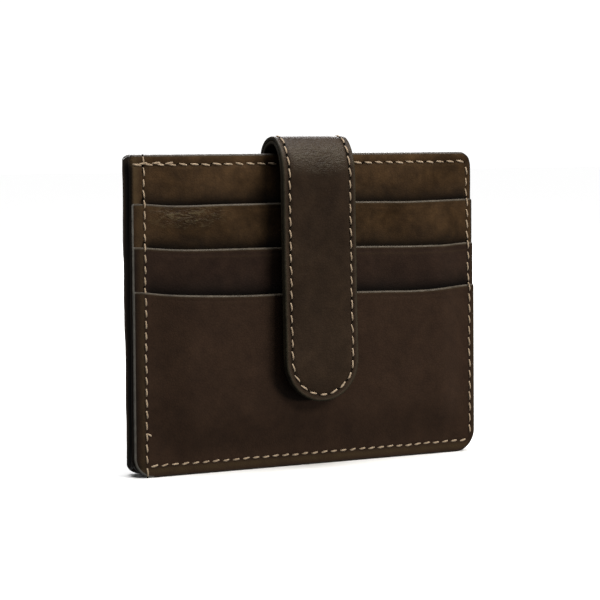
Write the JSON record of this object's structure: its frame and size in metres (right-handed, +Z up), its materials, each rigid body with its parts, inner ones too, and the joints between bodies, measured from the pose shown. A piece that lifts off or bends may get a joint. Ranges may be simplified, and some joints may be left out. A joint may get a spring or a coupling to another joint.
{
  "type": "card wallet",
  "caption": "Slim upright brown leather card wallet with stepped card pockets, contrast stitching, an open-topped centre pocket and a closing tab that snaps on the front.",
  "frame": {"origin": "middle of the foot line at the wallet's centre pocket, where the wallet stands", "axes": "+X to the right seen from the front, along the width; -Y out of the front face, where the tab snaps; +Z up towards the open top edge"},
  "size_m": [0.1024, 0.0186, 0.0883],
  "materials": {
    "shell_leather": "semi gloss, waxed full grain with burnished painted edges",
    "pocket_leather": "semi gloss, waxed smooth grain",
    "tab_leather": "semi gloss, waxed smooth grain",
    "under_leather": "matt, smooth",
    "pocket_cloth": "matt woven twill",
    "pocket_lining": "matt woven twill",
    "thread": "waxed tan thread",
    "snap_metal": "antique plated, satin",
    "magnet": "nickel plated"
  },
  "bodies": {
    "case": {"outer_shell": "shell_leather", "lining_front": "pocket_lining", "lining_back": "pocket_lining", "card_pocket_1": "pocket_leather", "pocket_cloth_1": "pocket_cloth", "card_pocket_2": "pocket_leather", "pocket_cloth_2": "pocket_cloth", "card_pocket_3": "pocket_leather", "pocket_cloth_3": "pocket_cloth", "back_pocket": "pocket_leather", "back_pocket_cloth": "pocket_cloth", "tab_anchor_lining": "under_leather", "tab_anchor_outer": "tab_leather", "snap_stud": "snap_metal", "snap_stud_washer": "snap_metal", "thread_perimeter": "thread", "thread_fold_seam": "thread", "thread_anchor": "thread"},
    "tab": {"tab_outer": "tab_leather", "tab_lining": "under_leather", "snap_socket_case": "snap_metal", "snap_magnet": "magnet", "snap_socket_base": "snap_metal", "snap_socket_washer": "snap_metal", "thread_tab": "thread"}
  },
  "joints": [
    {"name": "tab_bend", "type": "hinge", "parent": "case", "child": "tab", "pos_m": [0, 0.006, 0.078], "axis": [-1, 0, 0], "range_deg": [0, 165]}
  ]
}
